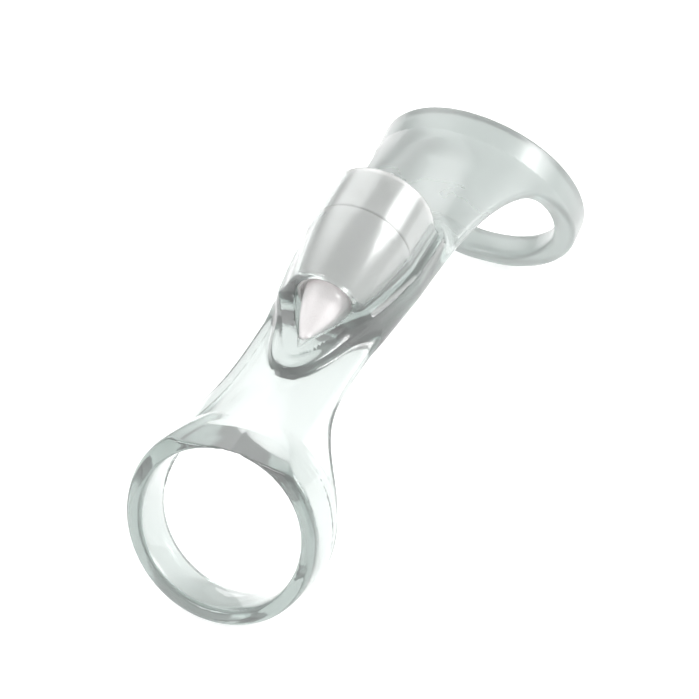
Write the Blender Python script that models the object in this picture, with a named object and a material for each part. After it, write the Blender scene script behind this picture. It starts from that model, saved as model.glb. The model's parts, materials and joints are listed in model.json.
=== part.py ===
"""A clear two-ring elastomer sleeve that carries a small battery vibrator in a pocket on its spine.

Frame: X runs along the sleeve from the small ring (-X) to the large ring (+X), Z is up and the
XZ plane is the plane of symmetry.  The origin is the middle of the footprint, at floor level.
The vibrator's own frame (the empty "bullet_axis") has its origin on the rear face of the vibrator,
and its +X runs out through the button.  All of its stations are negative towards the nose.
"""
import math

import bmesh
import bpy
from mathutils import Matrix, Vector

MM = 0.001
MERGE = 0.000001

# --- driving dimensions of the sleeve -------------------------------------------------------
LENGTH = 120.5 * MM             # overall, over both rings
NEAR_RADIUS = 17.1 * MM         # small ring, outside
NEAR_WALL = 3.0 * MM
NEAR_WIDTH = 9.0 * MM
NEAR_LEAN = math.radians(17.0)  # the foot of the small ring reaches forward
FAR_RADIUS = 21.0 * MM          # large ring, outside
FAR_WALL = 4.2 * MM
FAR_WIDTH = 5.2 * MM
FAR_LEAN = math.radians(21.5)   # the foot of the large ring reaches back
RING_ROUND = 0.6 * MM           # rounding of the rings' outer edges
BORE_ROUND = 0.4 * MM           # each bore is this much wider at its ends than in its middle
FOOT_FLAT = 0.9 * MM            # depth of the flat under each ring, where it stands
SPINE_WALL = 3.2 * MM
SPINE_ARCH = 1.4 * MM           # rise of the spine's middle over its chord
SPINE_HALF_ANGLE = math.radians(36.0)
ARM_SPREAD = math.radians(50.0)  # the spine widens by this much where it meets the small ring
ARM_REACH = 0.045               # fraction of the spine over which that spread dies away
HOOD_SPREAD = math.radians(30.0)
HOOD_REACH = 0.10
HOOD_HEEL_SPREAD = math.radians(16.0)
HOOD_HEEL_REACH = 0.015
TONGUE_STEP = 0.25 * MM         # the spine's ends sit this far inside the ring walls
TONGUE_DEPTH = 0.4              # fraction of the ring width that the spine's ends reach into

# --- driving dimensions of the vibrator -----------------------------------------------------
BULLET_REAR = Vector((9.6, 0.0, 41.6)) * MM
BULLET_SLOPE = math.radians(12.3)
SHELL_RADIUS = 8.4 * MM
CAP_LENGTH = 9.6 * MM
TAPER_START = -12.0 * MM
POCKET_LIP = -24.3 * MM         # station of the pocket's front lip
LIP_SHELL_RADIUS = 5.6 * MM     # radius of the vibrator where it leaves the pocket
NOSE_TIP = -34.3 * MM
NOSE_RADIUS = 1.5 * MM
NOSE_FLAT = 0.6                 # the nose's flat tip, as a share of its radius
TAPER_BULGE = 0.56              # how full the barrel is half way down its taper
FIT_GAP = 0.3 * MM              # clearance between pieces that touch

POCKET_WALL = 0.9 * MM
POCKET_GAP = 0.25 * MM
POCKET_MOUTH = 0.3 * MM         # the pocket ends just behind the vibrator's rear face
TROUGH_END = 36.0 * MM          # the way out for the vibrator, cut over the large ring
KEEL_END = 19.0 * MM            # the thickened floor under the way out
KEEL_DEPTH = 6.1 * MM           # top of that floor, below the vibrator's rear end
KEEL_CLIP_SLOPE = math.radians(3.6)
KEEL_STEP = 0.12 * MM           # the floor's outside lies this far inside the pocket's outside

# --- what the vibrator holds ----------------------------------------------------------------
NECK_RADIUS = 6.85 * MM
NECK_REAR = -5.6 * MM
BORE_RADIUS = 5.55 * MM
BORE_SHOULDER = -19.6 * MM
MOTOR_BAY_RADIUS = 3.4 * MM
MOTOR_BAY_END = -27.1 * MM
WEIGHT_BAY_RADIUS = 2.3 * MM
WEIGHT_BAY_END = -29.8 * MM
CAP_BORE = 7.2 * MM
CAP_LEDGE_RADIUS = 6.0 * MM
CAP_LEDGE = -4.3 * MM
CAP_END_WALL = 1.5 * MM
CAP_EDGE = ((-1.0 * MM, 0.0), (-0.3 * MM, 0.3 * MM), (0.0, 1.0 * MM))  # stations, and steps inwards
BUTTON_RADIUS = 3.2 * MM
BUTTON_PROUD = 1.1 * MM
BUTTON_DOME = ((0.55, 1.0), (0.85, 0.8), (1.0, 0.4))  # shares of its height and of its radius
BUTTON_FLANGE_RADIUS = 4.3 * MM
BUTTON_FLANGE_THICKNESS = 0.6 * MM
GROOVE_OFFSET = 1.4 * MM        # from the neck's rear end to the O-ring's groove
GROOVE_WIDTH = 1.2 * MM
GROOVE_DEPTH = 0.65 * MM
SEAL_SECTION = 0.33 * MM        # radius of the O-ring's section
SEAL_DEPTH = 0.15 * MM          # the middle of that section lies this far inside the neck's surface
SEAL_SIDES = 6
SWITCH_HEIGHT = 1.2 * MM
PLUNGER_FOOT = 0.65 * MM
SWITCH_HALF_DIAGONAL = 3.1 * MM
SWITCH_HOLE_HALF_DIAGONAL = 1.6 * MM
PLUNGER_RADIUS = 0.9 * MM
BOARD_RADIUS = 6.3 * MM
BOARD_REAR = -4.6 * MM
BOARD_THICKNESS = 0.6 * MM
SPRING_WIRE = 0.2 * MM          # radius of the wire
SPRING_TURNS = 2.5
SPRING_BOARD_RADIUS = 3.2 * MM
SPRING_CELL_RADIUS = 1.6 * MM
SPRING_STEPS = 30
CONTACT_GAP = 0.05 * MM         # left between pieces that press on each other
CELL_RADIUS = 3.95 * MM         # LR41: 7.9 mm across and 3.6 mm tall
CELL_HEIGHT = 3.6 * MM
CELL_COUNT = 3
CELL_EDGE = 0.3 * MM            # bevel of a cell's can
CELL_CAP_HEIGHT = 0.5 * MM      # the cell's raised pole
CELL_CAP_FOOT = 3.2 * MM
CELL_CAP_TOP = 3.1 * MM
FIRST_CELL = -6.8 * MM
HOLDER_WALL = 0.5 * MM
CONTACT_THICKNESS = 0.2 * MM
STRIP_WIDTH = 1.6 * MM
STRIP_THICKNESS = 0.25 * MM
STRIP_OFFSET = 5.15 * MM
STRIP_FOOT_END = 1.2 * MM
STRIP_REAR = -5.4 * MM
LEAD_RADIUS = 0.2 * MM
LEAD_CONTACT_HEIGHT = -2.4 * MM
LEAD_MOTOR_HEIGHT = -1.2 * MM
LEAD_STEPS = 8
MOTOR_RADIUS = 2.0 * MM         # 4 mm coreless motor
MOTOR_REAR = -20.0 * MM
MOTOR_FRONT = -26.8 * MM
MOTOR_CAN_WALL = 0.2 * MM
MOTOR_FRONT_WALL = 0.35 * MM
MOTOR_END_CAP = 0.5 * MM
MOTOR_GAP = 0.1 * MM            # clearance between the motor's own pieces
GROMMET_RADIUS = 3.1 * MM
GROMMET_FRONT = -26.5 * MM
BEARING_RADIUS = 0.85 * MM
BEARING_LENGTH = 0.6 * MM
BEARING_PLAY = 0.12 * MM
MAGNET_RADIUS = 1.0 * MM
MAGNET_REAR = -22.2 * MM
COIL_RADIUS = 1.55 * MM
COIL_WALL = 0.35 * MM
COIL_PLATE = 0.3 * MM
SHAFT_RADIUS = 0.3 * MM
SHAFT_HOLE = 0.5 * MM           # radius of the hole that the shaft leaves the can by
WEIGHT_RADIUS = 1.9 * MM
WEIGHT_HUB_RADIUS = 0.8 * MM
WEIGHT_REAR = -27.2 * MM
WEIGHT_FRONT = -29.4 * MM
WEIGHT_STEPS = 12

RING_SEGMENTS = 56
SHELL_SEGMENTS = 32
CELL_SEGMENTS = 24
SMALL_SEGMENTS = 16
SPINE_STATIONS = 24
SPINE_STEPS = 16
SMOOTH_LIMIT = math.radians(35.0)

MATERIALS = {
    "clear_tpe": ((0.74, 0.78, 0.75), 0.12, 0.0),
    "pearl_silver": ((0.80, 0.80, 0.79), 0.30, 0.45),
    "button_ivory": ((0.86, 0.83, 0.68), 0.40, 0.0),
    "black_rubber": ((0.03, 0.03, 0.03), 0.70, 0.0),
    "board_green": ((0.05, 0.25, 0.10), 0.50, 0.0),
    "black_plastic": ((0.04, 0.04, 0.045), 0.50, 0.0),
    "white_plastic": ((0.80, 0.80, 0.78), 0.45, 0.0),
    "steel": ((0.62, 0.62, 0.63), 0.28, 1.0),
    "brass": ((0.72, 0.55, 0.25), 0.30, 1.0),
    "copper": ((0.72, 0.36, 0.18), 0.35, 1.0),
    "magnet_grey": ((0.20, 0.20, 0.21), 0.45, 0.8),
    "tungsten": ((0.35, 0.35, 0.36), 0.45, 1.0),
    "red_insulation": ((0.60, 0.03, 0.02), 0.45, 0.0),
}


# --- general helpers ------------------------------------------------------------------------
def clear_scene():
    for item in list(bpy.data.objects):
        bpy.data.objects.remove(item, do_unlink=True)


def make_materials():
    made = {}
    for name, (colour, roughness, metallic) in MATERIALS.items():
        material = bpy.data.materials.new(name)
        material.use_nodes = True
        shader = material.node_tree.nodes["Principled BSDF"]
        shader.inputs["Base Color"].default_value = (*colour, 1.0)
        shader.inputs["Roughness"].default_value = roughness
        shader.inputs["Metallic"].default_value = metallic
        made[name] = material
    return made


def place(item, material=None, parent=None):
    bpy.context.scene.collection.objects.link(item)
    item.parent = parent
    if material is not None:
        item.data.materials.append(material)
    return item


def mesh_object(name, bm, material=None, parent=None):
    bmesh.ops.remove_doubles(bm, verts=bm.verts, dist=MERGE)
    bmesh.ops.recalc_face_normals(bm, faces=bm.faces)
    mesh = bpy.data.meshes.new(name)
    bm.to_mesh(mesh)
    bm.free()
    mesh.shade_smooth()
    mesh.set_sharp_from_angle(angle=SMOOTH_LIMIT)
    return place(bpy.data.objects.new(name, mesh), material, parent)


def guide(item):
    item.hide_render = True
    item.display_type = "WIRE"
    return item


def boolean(item, tool, operation):
    modifier = item.modifiers.new(tool.name, "BOOLEAN")
    modifier.object = tool
    modifier.operation = operation
    modifier.solver = "EXACT"


def turned(name, profile, material=None, parent=None, segments=SMALL_SEGMENTS):
    """A body turned about local X.  The profile is (station, radius) points.

    A profile that starts and ends on the axis is solid or a cup; any other is a closed ring outline.
    """
    bm = bmesh.new()
    verts = [bm.verts.new((station, 0.0, radius)) for station, radius in profile]
    edges = [bm.edges.new(pair) for pair in zip(verts, verts[1:])]
    if profile[0][1] > 0.0:
        edges.append(bm.edges.new((verts[-1], verts[0])))
    bmesh.ops.spin(
        bm, geom=verts + edges, axis=(1.0, 0.0, 0.0), cent=(0.0, 0.0, 0.0),
        angle=2.0 * math.pi, steps=segments, use_merge=True,
    )
    return mesh_object(name, bm, material, parent)


def ring(name, front, rear, inner, outer, material=None, parent=None, segments=SMALL_SEGMENTS):
    profile = [(front, inner), (front, outer), (rear, outer), (rear, inner)]
    return turned(name, profile, material, parent, segments)


def disc(name, front, rear, radius, material=None, parent=None, segments=SMALL_SEGMENTS):
    profile = [(front, 0.0), (front, radius), (rear, radius), (rear, 0.0)]
    return turned(name, profile, material, parent, segments)


def extruded(name, outline, depth, axis, material=None, parent=None):
    """A flat outline pushed by depth along the axis, half to each side of its plane."""
    push = Vector(axis) * depth
    bm = bmesh.new()
    face = bm.faces.new([bm.verts.new(Vector(point) - push / 2.0) for point in outline])
    result = bmesh.ops.extrude_face_region(bm, geom=[face])
    moved = [part for part in result["geom"] if isinstance(part, bmesh.types.BMVert)]
    bmesh.ops.translate(bm, verts=moved, vec=push)
    return mesh_object(name, bm, material, parent)


def box(name, low, high, parent=None):
    bm = bmesh.new()
    low, high = Vector(low), Vector(high)
    size = high - low
    middle = Matrix.Translation((low + high) / 2.0)
    bmesh.ops.create_cube(bm, size=1.0, matrix=middle @ Matrix.Diagonal((*size, 1.0)))
    return mesh_object(name, bm, None, parent)


def wire(name, points, radius, material, parent):
    """A round wire through the points, closed at both ends."""
    curve = bpy.data.curves.new(name, "CURVE")
    curve.dimensions = "3D"
    curve.bevel_depth = radius
    curve.bevel_resolution = 1
    curve.use_fill_caps = True
    spline = curve.splines.new("POLY")
    spline.points.add(len(points) - 1)
    for point, position in zip(spline.points, points):
        point.co = (*position, 1.0)
    return place(bpy.data.objects.new(name, curve), material, parent)


# --- the sleeve's frame ---------------------------------------------------------------------
def mix(low, high, share):
    return low + (high - low) * share


def ease(share):
    return share * share * (3.0 - 2.0 * share)


def ring_axis(lean):
    """Unit vector along a ring's axis, towards +X.  A positive lean points it down."""
    return Vector((math.cos(lean), 0.0, -math.sin(lean)))


def ring_up(lean):
    return Vector((math.sin(lean), 0.0, math.cos(lean)))


def ring_reach(radius, width, lean):
    """How far a ring's foot reaches beyond the centre of its inner edge, along X."""
    return (radius - RING_ROUND) * math.sin(lean) + width * math.cos(lean)


NEAR_CENTRE = Vector((
    ring_reach(NEAR_RADIUS, NEAR_WIDTH, NEAR_LEAN) - LENGTH / 2.0,
    0.0,
    NEAR_RADIUS * math.cos(NEAR_LEAN) - FOOT_FLAT,
))
FAR_CENTRE = Vector((
    LENGTH / 2.0 - ring_reach(FAR_RADIUS, FAR_WIDTH, FAR_LEAN),
    0.0,
    FAR_RADIUS * math.cos(FAR_LEAN) - FOOT_FLAT,
))
NEAR_TOP = NEAR_CENTRE + ring_up(NEAR_LEAN) * NEAR_RADIUS
FAR_TOP = FAR_CENTRE + ring_up(-FAR_LEAN) * FAR_RADIUS


def spine_station(share):
    """Crown point, up direction and outer radius of the sleeve at a share of the spine's length."""
    chord = FAR_TOP - NEAR_TOP
    normal = Vector((-chord.z, 0.0, chord.x)).normalized()
    crown = NEAR_TOP + chord * share + normal * (4.0 * SPINE_ARCH * share * (1.0 - share))
    lean = mix(NEAR_LEAN, -FAR_LEAN, ease(share))
    return crown, ring_up(lean), mix(NEAR_RADIUS, FAR_RADIUS, ease(share))


def spine_half_angle(share):
    """Half of the angle that the spine wraps round the sleeve: it flares into each ring."""
    arms = ARM_SPREAD * math.exp(-share / ARM_REACH)
    left = 1.0 - share
    hood = HOOD_SPREAD * math.exp(-left / HOOD_REACH)
    heel = HOOD_HEEL_SPREAD * math.exp(-left / HOOD_HEEL_REACH)
    return SPINE_HALF_ANGLE + arms + hood + heel


def ring_profile(radius, wall, width, direction):
    """A ring band's section: width away from the spine, rounded edges and a crowned bore."""
    bore = radius - wall
    points = [
        (0.0, bore + BORE_ROUND),
        (0.0, radius - RING_ROUND),
        (RING_ROUND, radius),
        (width - RING_ROUND, radius),
        (width, radius - RING_ROUND),
        (width, bore + BORE_ROUND),
        (width / 2.0, bore),
    ]
    return [(direction * station, distance) for station, distance in points]


def make_ring(name, centre, lean, profile):
    band = guide(turned(name, profile, segments=RING_SEGMENTS))
    band.location = centre
    band.rotation_euler = (0.0, lean, 0.0)
    return band


def tongue(share_into, centre, lean, radius, width, direction):
    """Section of the spine's end inside a ring, share_into of the ring's width deep."""
    middle = centre + ring_axis(lean) * (direction * share_into * width)
    up = ring_up(lean)
    return middle + up * radius, up, radius


def arc_points(crown, up, radius, half_angle, inset):
    """Points across the sleeve at one section, on the circle that lies inset inside its surface."""
    centre = crown - up * radius
    across = Vector((0.0, 1.0, 0.0))
    points = []
    for step in range(SPINE_STEPS + 1):
        angle = half_angle * (2.0 * step / SPINE_STEPS - 1.0)
        direction = up * math.cos(angle) + across * math.sin(angle)
        points.append(centre + direction * (radius - inset))
    return points


def spine_sections():
    """Outer and inner rows of points for each section, from the small ring to the large one."""
    near = tongue(TONGUE_DEPTH, NEAR_CENTRE, NEAR_LEAN, NEAR_RADIUS, NEAR_WIDTH, -1.0)
    far = tongue(TONGUE_DEPTH, FAR_CENTRE, -FAR_LEAN, FAR_RADIUS, FAR_WIDTH, 1.0)
    sections = [(near, spine_half_angle(0.0), NEAR_WALL)]
    for step in range(SPINE_STATIONS + 1):
        share = (1.0 - math.cos(math.pi * step / SPINE_STATIONS)) / 2.0
        ring_wall = NEAR_WALL if share < 0.5 else FAR_WALL
        wall = mix(SPINE_WALL, ring_wall, ease(abs(2.0 * share - 1.0)))
        sections.append((spine_station(share), spine_half_angle(share), wall))
    sections.append((far, spine_half_angle(1.0), FAR_WALL))
    for (crown, up, radius), half_angle, wall in sections:
        outer = arc_points(crown, up, radius, half_angle, TONGUE_STEP)
        inner = arc_points(crown, up, radius, half_angle, wall - TONGUE_STEP)
        yield outer + inner[::-1]


def make_spine():
    """The curved strip between the rings, lofted through its sections and closed at both ends."""
    bm = bmesh.new()
    loops = []
    for section in spine_sections():
        loops.append([bm.verts.new(point) for point in section])
    count = len(loops[0])
    for loop, following in zip(loops, loops[1:]):
        for index in range(count):
            after = (index + 1) % count
            bm.faces.new((loop[index], loop[after], following[after], following[index]))
    for loop in (loops[0], loops[-1]):
        for index in range(SPINE_STEPS):
            across = count - 1 - index
            bm.faces.new((loop[index], loop[index + 1], loop[across - 1], loop[across]))
    return mesh_object("sleeve", bm)


# --- the pocket -----------------------------------------------------------------------------
def shell_outline(offset):
    """Outer profile of the vibrator's front, grown by offset, from its nose to its straight part."""
    tip_round = (NOSE_RADIUS + offset) / 2.0
    return [
        (NOSE_TIP - offset, 0.0),
        (NOSE_TIP - offset, NOSE_RADIUS * NOSE_FLAT + offset / 2.0),
        (NOSE_TIP - offset + tip_round, NOSE_RADIUS + offset),
        (POCKET_LIP, LIP_SHELL_RADIUS + offset),
        ((POCKET_LIP + TAPER_START) / 2.0, mix(LIP_SHELL_RADIUS, SHELL_RADIUS, TAPER_BULGE) + offset),
        (TAPER_START, SHELL_RADIUS + offset),
    ]


def make_pocket_body(axis):
    """The raised tube round the vibrator, from its front lip to its rear mouth."""
    grown = POCKET_GAP + POCKET_WALL
    middle = shell_outline(grown)[4]
    profile = [
        (POCKET_LIP - POCKET_WALL, 0.0),
        (POCKET_LIP - POCKET_WALL, LIP_SHELL_RADIUS + POCKET_GAP),
        (POCKET_LIP, LIP_SHELL_RADIUS + grown),
        middle,
        (TAPER_START, SHELL_RADIUS + grown),
        (POCKET_MOUTH - POCKET_WALL, SHELL_RADIUS + grown),
        (POCKET_MOUTH, SHELL_RADIUS + grown - POCKET_WALL / 2.0),
        (POCKET_MOUTH, 0.0),
    ]
    return guide(turned("pocket_body", profile, parent=axis, segments=SHELL_SEGMENTS))


def make_keel(axis):
    """The thicker floor under the nose and behind the mouth, where the vibrator dips into the spine."""
    grown = POCKET_GAP + POCKET_WALL - KEEL_STEP
    profile = shell_outline(grown) + [(KEEL_END, SHELL_RADIUS + grown), (KEEL_END, 0.0)]
    keel = guide(turned("keel", profile, parent=axis, segments=SHELL_SEGMENTS))
    clip = guide(box("keel_clip", (-LENGTH, -LENGTH, 0.0), (LENGTH, LENGTH, LENGTH)))
    clip.location = BULLET_REAR - Vector((0.0, 0.0, KEEL_DEPTH))
    clip.rotation_euler = (0.0, -KEEL_CLIP_SLOPE, 0.0)
    boolean(keel, clip, "DIFFERENCE")
    return keel


def make_cavity(axis):
    """The hollow for the vibrator, its window at the nose and the way out over the large ring."""
    profile = shell_outline(POCKET_GAP) + [
        (TROUGH_END, SHELL_RADIUS + POCKET_GAP),
        (TROUGH_END, 0.0),
    ]
    return guide(turned("cavity", profile, parent=axis, segments=SHELL_SEGMENTS))


def make_sleeve(axis, materials):
    sleeve = make_spine()
    sleeve.data.materials.append(materials["clear_tpe"])
    near_profile = ring_profile(NEAR_RADIUS, NEAR_WALL, NEAR_WIDTH, -1.0)
    far_profile = ring_profile(FAR_RADIUS, FAR_WALL, FAR_WIDTH, 1.0)
    boolean(sleeve, make_ring("near_ring", NEAR_CENTRE, NEAR_LEAN, near_profile), "UNION")
    boolean(sleeve, make_ring("far_ring", FAR_CENTRE, -FAR_LEAN, far_profile), "UNION")
    boolean(sleeve, make_pocket_body(axis), "UNION")
    boolean(sleeve, make_keel(axis), "UNION")
    boolean(sleeve, make_cavity(axis), "DIFFERENCE")
    floor = guide(box("floor", (-LENGTH, -LENGTH, -LENGTH), (LENGTH, LENGTH, 0.0)))
    boolean(sleeve, floor, "DIFFERENCE")


# --- the vibrator's shells ------------------------------------------------------------------
def make_barrel(axis, materials):
    """Tapered front shell: nose, barrel and the neck that the cap pushes onto."""
    groove_rear = NECK_REAR - GROOVE_OFFSET
    groove_front = groove_rear - GROOVE_WIDTH
    groove_radius = NECK_RADIUS - GROOVE_DEPTH
    shoulder = -CAP_LENGTH - FIT_GAP / 2.0
    profile = shell_outline(0.0) + [
        (shoulder, SHELL_RADIUS),
        (shoulder, NECK_RADIUS),
        (groove_front, NECK_RADIUS),
        (groove_front, groove_radius),
        (groove_rear, groove_radius),
        (groove_rear, NECK_RADIUS),
        (NECK_REAR, NECK_RADIUS),
        (NECK_REAR, BORE_RADIUS),
        (BORE_SHOULDER, BORE_RADIUS),
        (BORE_SHOULDER, MOTOR_BAY_RADIUS),
        (MOTOR_BAY_END, MOTOR_BAY_RADIUS),
        (MOTOR_BAY_END, WEIGHT_BAY_RADIUS),
        (WEIGHT_BAY_END, WEIGHT_BAY_RADIUS),
        (WEIGHT_BAY_END, 0.0),
    ]
    turned("bullet_barrel", profile, materials["pearl_silver"], axis, SHELL_SEGMENTS)
    make_cap_seal((groove_rear + groove_front) / 2.0, axis, materials)


def make_cap_seal(station, axis, materials):
    """The O-ring in the neck's groove."""
    radius = NECK_RADIUS - SEAL_DEPTH
    profile = []
    for step in range(SEAL_SIDES):
        angle = 2.0 * math.pi * step / SEAL_SIDES
        profile.append((
            station + SEAL_SECTION * math.cos(angle),
            radius + SEAL_SECTION * math.sin(angle),
        ))
    turned("cap_seal", profile, materials["black_rubber"], axis, CELL_SEGMENTS)


def make_cap(axis, materials):
    """Rear cap: a push fit over the neck, with the button's hole in its end wall."""
    hole = BUTTON_RADIUS + FIT_GAP
    edge = [(station, SHELL_RADIUS - step) for station, step in CAP_EDGE]
    profile = [(-CAP_LENGTH, SHELL_RADIUS)] + edge + [
        (0.0, hole),
        (-CAP_END_WALL, hole),
        (-CAP_END_WALL, CAP_LEDGE_RADIUS),
        (CAP_LEDGE, CAP_LEDGE_RADIUS),
        (CAP_LEDGE, CAP_BORE),
        (-CAP_LENGTH, CAP_BORE),
    ]
    turned("rear_cap", profile, materials["pearl_silver"], axis, SHELL_SEGMENTS)


# --- button, switch and board ---------------------------------------------------------------
def make_button(axis, materials):
    flange_rear = -CAP_END_WALL - FIT_GAP
    flange_front = flange_rear - BUTTON_FLANGE_THICKNESS
    dome = [(BUTTON_PROUD * height, BUTTON_RADIUS * width) for height, width in BUTTON_DOME]
    profile = [
        (flange_front, 0.0),
        (flange_front, BUTTON_FLANGE_RADIUS),
        (flange_rear, BUTTON_FLANGE_RADIUS),
        (flange_rear, BUTTON_RADIUS),
    ] + dome + [(BUTTON_PROUD, 0.0)]
    turned("push_button", profile, materials["button_ivory"], axis, CELL_SEGMENTS)
    seal_inner = BUTTON_FLANGE_RADIUS + FIT_GAP
    seal_outer = CAP_LEDGE_RADIUS - FIT_GAP / 2.0
    seal_front = flange_front - BUTTON_FLANGE_THICKNESS
    rubber = materials["black_rubber"]
    ring("button_seal", seal_front, flange_rear, seal_inner, seal_outer, rubber, axis)
    return flange_front


def make_switch(button_foot, axis, materials):
    body_front = BOARD_REAR + FIT_GAP / 2.0
    body_rear = body_front + SWITCH_HEIGHT
    body = ring(
        "switch_body", body_front, body_rear, SWITCH_HOLE_HALF_DIAGONAL, SWITCH_HALF_DIAGONAL,
        materials["black_plastic"], axis, segments=4,
    )
    body.rotation_euler = (math.radians(45.0), 0.0, 0.0)
    plunger_rear = button_foot - FIT_GAP
    plunger_front = body_front + PLUNGER_FOOT
    plastic = materials["white_plastic"]
    disc("switch_plunger", plunger_front, plunger_rear, PLUNGER_RADIUS, plastic, axis)


def make_board(axis, materials):
    board_front = BOARD_REAR - BOARD_THICKNESS
    green = materials["board_green"]
    disc("circuit_board", board_front, BOARD_REAR, BOARD_RADIUS, green, axis, CELL_SEGMENTS)
    start = board_front - SPRING_WIRE - CONTACT_GAP
    end = FIRST_CELL + SPRING_WIRE + CONTACT_GAP
    points = []
    for step in range(SPRING_STEPS + 1):
        share = step / SPRING_STEPS
        angle = 2.0 * math.pi * SPRING_TURNS * share
        radius = mix(SPRING_BOARD_RADIUS, SPRING_CELL_RADIUS, share)
        points.append((mix(start, end, share), radius * math.cos(angle), radius * math.sin(angle)))
    wire("contact_spring", points, SPRING_WIRE, materials["steel"], axis)


# --- cells and contacts ---------------------------------------------------------------------
def make_cells(axis, materials):
    pitch = CELL_HEIGHT + FIT_GAP
    for index in range(CELL_COUNT):
        rear = FIRST_CELL - index * pitch
        front = rear - CELL_HEIGHT
        profile = [
            (front, 0.0),
            (front, CELL_RADIUS - CELL_EDGE),
            (front + CELL_EDGE, CELL_RADIUS),
            (rear - CELL_CAP_HEIGHT, CELL_RADIUS),
            (rear - CELL_CAP_HEIGHT, CELL_CAP_FOOT),
            (rear, CELL_CAP_TOP),
            (rear, 0.0),
        ]
        turned(f"cell_{index + 1}", profile, materials["steel"], axis, CELL_SEGMENTS)
    stack_end = FIRST_CELL - CELL_COUNT * pitch + FIT_GAP
    bore = CELL_RADIUS + FIT_GAP
    holder_radius = bore + HOLDER_WALL
    plastic = materials["white_plastic"]
    ring("cell_holder", stack_end, FIRST_CELL, bore, holder_radius, plastic, axis, CELL_SEGMENTS)
    contact_rear = stack_end - FIT_GAP / 2.0
    contact_front = contact_rear - CONTACT_THICKNESS
    brass = materials["brass"]
    disc("front_contact", contact_front, contact_rear, holder_radius, brass, axis, CELL_SEGMENTS)
    return contact_front


def make_conductors(contact_front, axis, materials):
    """The strip from the motor back to the board along the bore, and the motor's other lead."""
    outer = STRIP_OFFSET + STRIP_THICKNESS / 2.0
    inner = outer - STRIP_THICKNESS
    foot_rear = contact_front - FIT_GAP
    foot_front = foot_rear - STRIP_THICKNESS
    outline = [
        (STRIP_REAR, 0.0, inner),
        (STRIP_REAR, 0.0, outer),
        (foot_front, 0.0, outer),
        (foot_front, 0.0, STRIP_FOOT_END),
        (foot_rear, 0.0, STRIP_FOOT_END),
        (foot_rear, 0.0, inner),
    ]
    extruded("return_strip", outline, STRIP_WIDTH, (0.0, 1.0, 0.0), materials["brass"], axis)
    lead_start = contact_front - LEAD_RADIUS
    lead_end = MOTOR_REAR + LEAD_RADIUS
    points = []
    for step in range(LEAD_STEPS + 1):
        share = step / LEAD_STEPS
        height = mix(LEAD_CONTACT_HEIGHT, LEAD_MOTOR_HEIGHT, ease(share))
        points.append((mix(lead_start, lead_end, share), 0.0, height))
    wire("motor_lead", points, LEAD_RADIUS, materials["red_insulation"], axis)


# --- the motor ------------------------------------------------------------------------------
def make_motor_case(axis, materials):
    bore = MOTOR_RADIUS + FIT_GAP
    rubber = materials["black_rubber"]
    ring("motor_grommet", GROMMET_FRONT, MOTOR_REAR, bore, GROMMET_RADIUS, rubber, axis)
    inside = MOTOR_RADIUS - MOTOR_CAN_WALL
    front_inside = MOTOR_FRONT + MOTOR_FRONT_WALL
    profile = [
        (MOTOR_REAR, inside),
        (MOTOR_REAR, MOTOR_RADIUS),
        (MOTOR_FRONT, MOTOR_RADIUS),
        (MOTOR_FRONT, SHAFT_HOLE),
        (front_inside, SHAFT_HOLE),
        (front_inside, inside),
    ]
    turned("motor_can", profile, materials["steel"], axis)
    cap_rear = MOTOR_REAR - MOTOR_GAP
    cap_radius = inside - CONTACT_GAP
    plastic = materials["black_plastic"]
    disc("motor_end_cap", cap_rear - MOTOR_END_CAP, cap_rear, cap_radius, plastic, axis)
    return front_inside


def make_motor_core(front_inside, axis, materials):
    """The fixed magnet with a bearing at each end, inside the turning cup of the coil."""
    bore = SHAFT_RADIUS + BEARING_PLAY
    magnet_front = front_inside + BEARING_LENGTH + 2.0 * MOTOR_GAP
    ring("motor_magnet", magnet_front, MAGNET_REAR, bore, MAGNET_RADIUS, materials["magnet_grey"], axis)
    starts = {"front_bearing": front_inside + MOTOR_GAP, "rear_bearing": MAGNET_REAR + MOTOR_GAP}
    for name, front in starts.items():
        ring(name, front, front + BEARING_LENGTH, bore, BEARING_RADIUS, materials["brass"], axis)
    return magnet_front, MAGNET_REAR + MOTOR_GAP + BEARING_LENGTH


def make_rotor(coil_front, core_rear, axis, materials):
    """What turns: the coil cup, the shaft and the off-centre weight."""
    hole = SHAFT_RADIUS + CONTACT_GAP
    inside = COIL_RADIUS - COIL_WALL
    plate_front = core_rear + MOTOR_GAP
    plate_rear = plate_front + COIL_PLATE
    profile = [
        (plate_rear, hole),
        (plate_rear, COIL_RADIUS),
        (coil_front, COIL_RADIUS),
        (coil_front, inside),
        (plate_front, inside),
        (plate_front, hole),
    ]
    turned("rotor_coil", profile, materials["copper"], axis)
    shaft_rear = plate_rear + MOTOR_GAP
    disc("rotor_shaft", WEIGHT_FRONT, shaft_rear, SHAFT_RADIUS, materials["steel"], axis)
    weight = extruded(
        "eccentric_weight", weight_outline(), WEIGHT_REAR - WEIGHT_FRONT, (1.0, 0.0, 0.0),
        materials["tungsten"], axis,
    )
    bore = guide(disc("weight_bore", 2.0 * WEIGHT_FRONT, 0.0, hole, parent=axis))
    boolean(weight, bore, "DIFFERENCE")


def weight_outline():
    """A half disc below the shaft with a hub round it."""
    station = (WEIGHT_REAR + WEIGHT_FRONT) / 2.0
    points = []
    for radius, first in ((WEIGHT_RADIUS, -math.pi), (WEIGHT_HUB_RADIUS, 0.0)):
        for step in range(WEIGHT_STEPS + 1):
            angle = first + math.pi * step / WEIGHT_STEPS
            points.append((station, radius * math.cos(angle), radius * math.sin(angle)))
    return points


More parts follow.
